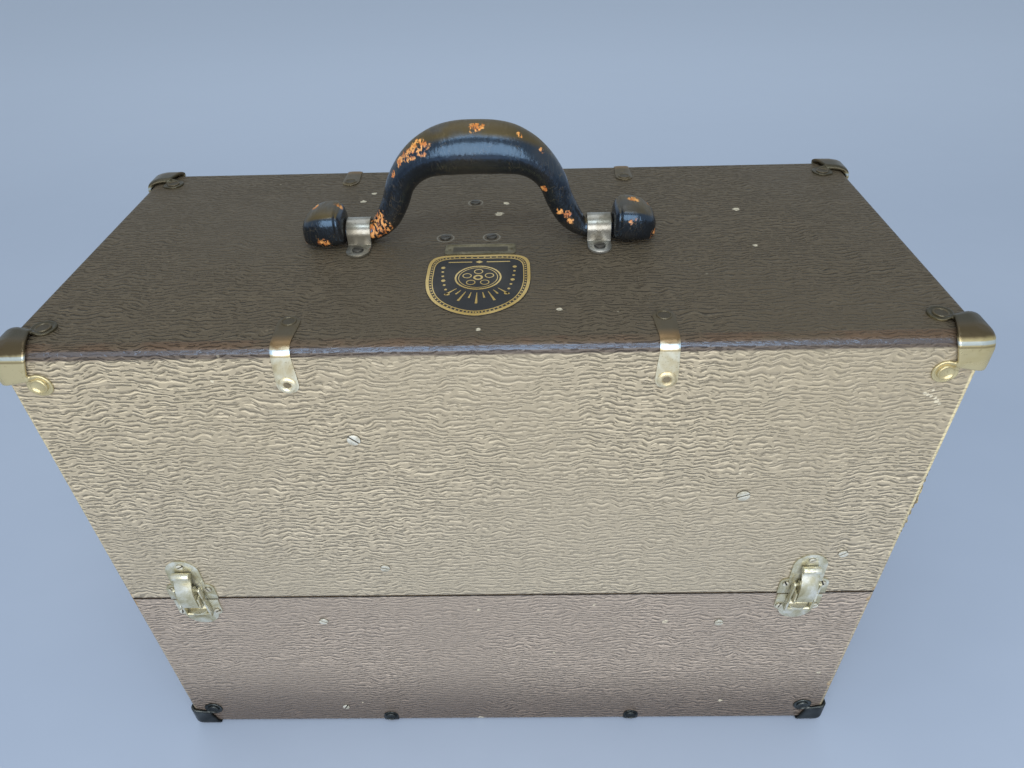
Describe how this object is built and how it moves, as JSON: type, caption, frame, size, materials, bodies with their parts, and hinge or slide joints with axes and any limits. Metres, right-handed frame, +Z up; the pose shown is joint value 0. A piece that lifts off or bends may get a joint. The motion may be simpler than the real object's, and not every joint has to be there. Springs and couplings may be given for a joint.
{
  "type": "movie projector in carrying case",
  "caption": "Portable film projector in its leatherette carrying case: lift-off cover with draw latches, strap handle, metal corners, and the projector fixed inside.",
  "frame": {"origin": "middle of the resting plane under the case's corner caps", "axes": "+X along the case's length towards the side where the lens points, +Y from the front towards the back, +Z up"},
  "size_m": [0.4752, 0.2312, 0.4186],
  "materials": {
    "wood": "raw plywood, dyed edges",
    "leatherette": "dark brown embossed leatherette, semi-gloss, scuffed",
    "fitting_nickel": "tarnished nickel over brass",
    "screw_steel": "dull plated steel",
    "handle_leather": "black waxed leather, worn to tan",
    "label": "black and gold transfer",
    "plate_brass": "dull bare brass",
    "crackle": "dark brown crackle enamel",
    "black_enamel": "black enamel",
    "bright_steel": "polished steel",
    "bakelite": "black phenolic",
    "pad_rubber": "black rubber",
    "belt_leather": "brown leather",
    "clear_glass": "clear"
  },
  "bodies": {
    "tray": {"tray_boards": "wood", "tray_covering": "leatherette", "tray_corners": "fitting_nickel", "tray_edge_clips": "fitting_nickel", "tray_rivets": "fitting_nickel", "keeper_plates": "fitting_nickel", "tray_screws": "screw_steel", "tray_cleats": "wood", "base_casting": "crackle", "base_pads": "pad_rubber", "hold_down_screws": "screw_steel", "main_frame": "crackle", "mechanism_cover": "crackle", "motor_housing": "black_enamel", "blower_housing": "black_enamel", "lamphouse": "black_enamel", "lamp_socket": "bright_steel", "lamp_bulb": "clear_glass", "condenser": "clear_glass", "film_gate": "bright_steel", "drive_belt": "belt_leather", "power_inlet": "bakelite"},
    "cover": {"cover_boards": "wood", "cover_covering": "leatherette", "cover_corners": "fitting_nickel", "cover_edge_clips": "fitting_nickel", "cover_rivets": "fitting_nickel", "latch_plates": "fitting_nickel", "cover_screws": "screw_steel", "handle_loops": "fitting_nickel", "label_plate": "label", "narrow_plate": "plate_brass", "cover_battens": "wood", "arm_clips": "screw_steel", "reel_arms": "crackle"},
    "handle": {"handle": "handle_leather"},
    "lever_fl": {"lever_fl": "fitting_nickel"},
    "lever_fr": {"lever_fr": "fitting_nickel"},
    "lever_bl": {"lever_bl": "fitting_nickel"},
    "lever_br": {"lever_br": "fitting_nickel"},
    "link_fl": {"link_fl": "fitting_nickel"},
    "link_fr": {"link_fr": "fitting_nickel"},
    "link_bl": {"link_bl": "fitting_nickel"},
    "link_br": {"link_br": "fitting_nickel"},
    "motor_rotor": {"motor_rotor": "bright_steel"},
    "shutter_rotor": {"shutter_rotor": "bright_steel"},
    "upright_shaft": {"upright_shaft": "bright_steel"},
    "upper_sprocket": {"upper_sprocket": "bright_steel"},
    "lower_sprocket": {"lower_sprocket": "bright_steel"},
    "claw": {"claw": "bright_steel"},
    "lens_carriage": {"lens_carriage": "bright_steel"},
    "lens_barrel": {"lens_barrel": "plate_brass", "lens_glass": "clear_glass"},
    "upper_shoe": {"upper_shoe": "bright_steel"},
    "lower_shoe": {"lower_shoe": "bright_steel"},
    "lamphouse_cap": {"lamphouse_cap": "black_enamel"},
    "motor_switch": {"motor_switch": "bright_steel"},
    "lamp_switch": {"lamp_switch": "bright_steel"},
    "speed_knob": {"speed_knob": "bakelite"},
    "stored_reel": {"stored_reel": "bright_steel"}
  },
  "joints": [
    {"name": "cover_lift", "type": "slide", "parent": "tray", "child": "cover", "axis": [0, 0, 1], "range_m": [0, 0.25]},
    {"name": "handle_rock", "type": "hinge", "parent": "cover", "child": "handle", "pos_m": [-0.007, 0, 0.3568], "axis": [1, 0, 0], "range_deg": [-10, 10]},
    {"name": "lever_fl_swing", "type": "hinge", "parent": "cover", "child": "lever_fl", "pos_m": [-0.193, -0.1126, 0.159], "axis": [1, 0, 0], "range_deg": [0, 150]},
    {"name": "link_fl_swing", "type": "hinge", "parent": "lever_fl", "child": "link_fl", "pos_m": [-0.193, -0.1116, 0.1715], "axis": [1, 0, 0], "range_deg": [-150, 0]},
    {"name": "lever_fr_swing", "type": "hinge", "parent": "cover", "child": "lever_fr", "pos_m": [0.188, -0.1126, 0.159], "axis": [1, 0, 0], "range_deg": [0, 150]},
    {"name": "link_fr_swing", "type": "hinge", "parent": "lever_fr", "child": "link_fr", "pos_m": [0.188, -0.1116, 0.1715], "axis": [1, 0, 0], "range_deg": [-150, 0]},
    {"name": "lever_bl_swing", "type": "hinge", "parent": "cover", "child": "lever_bl", "pos_m": [-0.193, 0.1126, 0.159], "axis": [-1, 0, 0], "range_deg": [0, 150]},
    {"name": "link_bl_swing", "type": "hinge", "parent": "lever_bl", "child": "link_bl", "pos_m": [-0.193, 0.1116, 0.1715], "axis": [-1, 0, 0], "range_deg": [-150, 0]},
    {"name": "lever_br_swing", "type": "hinge", "parent": "cover", "child": "lever_br", "pos_m": [0.188, 0.1126, 0.159], "axis": [-1, 0, 0], "range_deg": [0, 150]},
    {"name": "link_br_swing", "type": "hinge", "parent": "lever_br", "child": "link_br", "pos_m": [0.188, 0.1116, 0.1715], "axis": [-1, 0, 0], "range_deg": [-150, 0]},
    {"name": "motor_spin", "type": "hinge", "parent": "tray", "child": "motor_rotor", "pos_m": [-0.00003, 0.032, 0.0863], "axis": [1, 0, 0], "continuous": true},
    {"name": "shutter_spin", "type": "hinge", "parent": "tray", "child": "shutter_rotor", "pos_m": [-0.00003, 0.012, 0.2053], "axis": [1, 0, 0], "continuous": true},
    {"name": "upright_spin", "type": "hinge", "parent": "tray", "child": "upright_shaft", "pos_m": [-0.00003, 0.0323, 0.2053], "axis": [0, 0, 1], "continuous": true},
    {"name": "upper_sprocket_spin", "type": "hinge", "parent": "tray", "child": "upper_sprocket", "pos_m": [-0.01833, 0, 0.2653], "axis": [0, 1, 0], "continuous": true},
    {"name": "lower_sprocket_spin", "type": "hinge", "parent": "tray", "child": "lower_sprocket", "pos_m": [-0.01833, 0, 0.1453], "axis": [0, 1, 0], "continuous": true},
    {"name": "claw_stroke", "type": "slide", "parent": "tray", "child": "claw", "axis": [0, 0, 1], "range_m": [0, 0.0076]},
    {"name": "gate_open", "type": "slide", "parent": "tray", "child": "lens_carriage", "axis": [1, 0, 0], "range_m": [0, 0.006]},
    {"name": "lens_focus", "type": "slide", "parent": "lens_carriage", "child": "lens_barrel", "axis": [1, 0, 0], "range_m": [0, 0.01]},
    {"name": "upper_shoe_open", "type": "hinge", "parent": "tray", "child": "upper_shoe", "pos_m": [0.00727, -0.033, 0.2608], "axis": [0, 1, 0], "range_deg": [0, 40], "stiffness_Nm_per_rad": 0.012, "springref_deg": -28.65},
    {"name": "lower_shoe_open", "type": "hinge", "parent": "tray", "child": "lower_shoe", "pos_m": [0.00727, -0.033, 0.1498], "axis": [0, -1, 0], "range_deg": [0, 40], "stiffness_Nm_per_rad": 0.012, "springref_deg": -28.65},
    {"name": "cap_lift", "type": "slide", "parent": "tray", "child": "lamphouse_cap", "axis": [0, 0, 1], "range_m": [0, 0.024]},
    {"name": "motor_switch_flip", "type": "hinge", "parent": "tray", "child": "motor_switch", "pos_m": [0.03797, -0.066, 0.0353], "axis": [-1, 0, 0], "range_deg": [0, 28]},
    {"name": "lamp_switch_flip", "type": "hinge", "parent": "tray", "child": "lamp_switch", "pos_m": [0.06197, -0.066, 0.0353], "axis": [-1, 0, 0], "range_deg": [0, 28]},
    {"name": "speed_turn", "type": "hinge", "parent": "tray", "child": "speed_knob", "pos_m": [0.09997, -0.064, 0.0353], "axis": [0, -1, 0], "range_deg": [0, 270]},
    {"name": "reel_lift", "type": "slide", "parent": "tray", "child": "stored_reel", "axis": [0, 0, 1], "range_m": [0, 0.14]}
  ],
  "couplings": [
    {"joint": "link_fl_swing", "follows": "lever_fl_swing", "ratio": -1},
    {"joint": "link_fr_swing", "follows": "lever_fr_swing", "ratio": -1},
    {"joint": "link_bl_swing", "follows": "lever_bl_swing", "ratio": -1},
    {"joint": "link_br_swing", "follows": "lever_br_swing", "ratio": -1},
    {"joint": "shutter_spin", "follows": "motor_spin", "ratio": 0.6},
    {"joint": "upright_spin", "follows": "motor_spin", "ratio": 0.4},
    {"joint": "upper_sprocket_spin", "follows": "motor_spin", "ratio": 0.05},
    {"joint": "lower_sprocket_spin", "follows": "motor_spin", "ratio": 0.05}
  ]
}
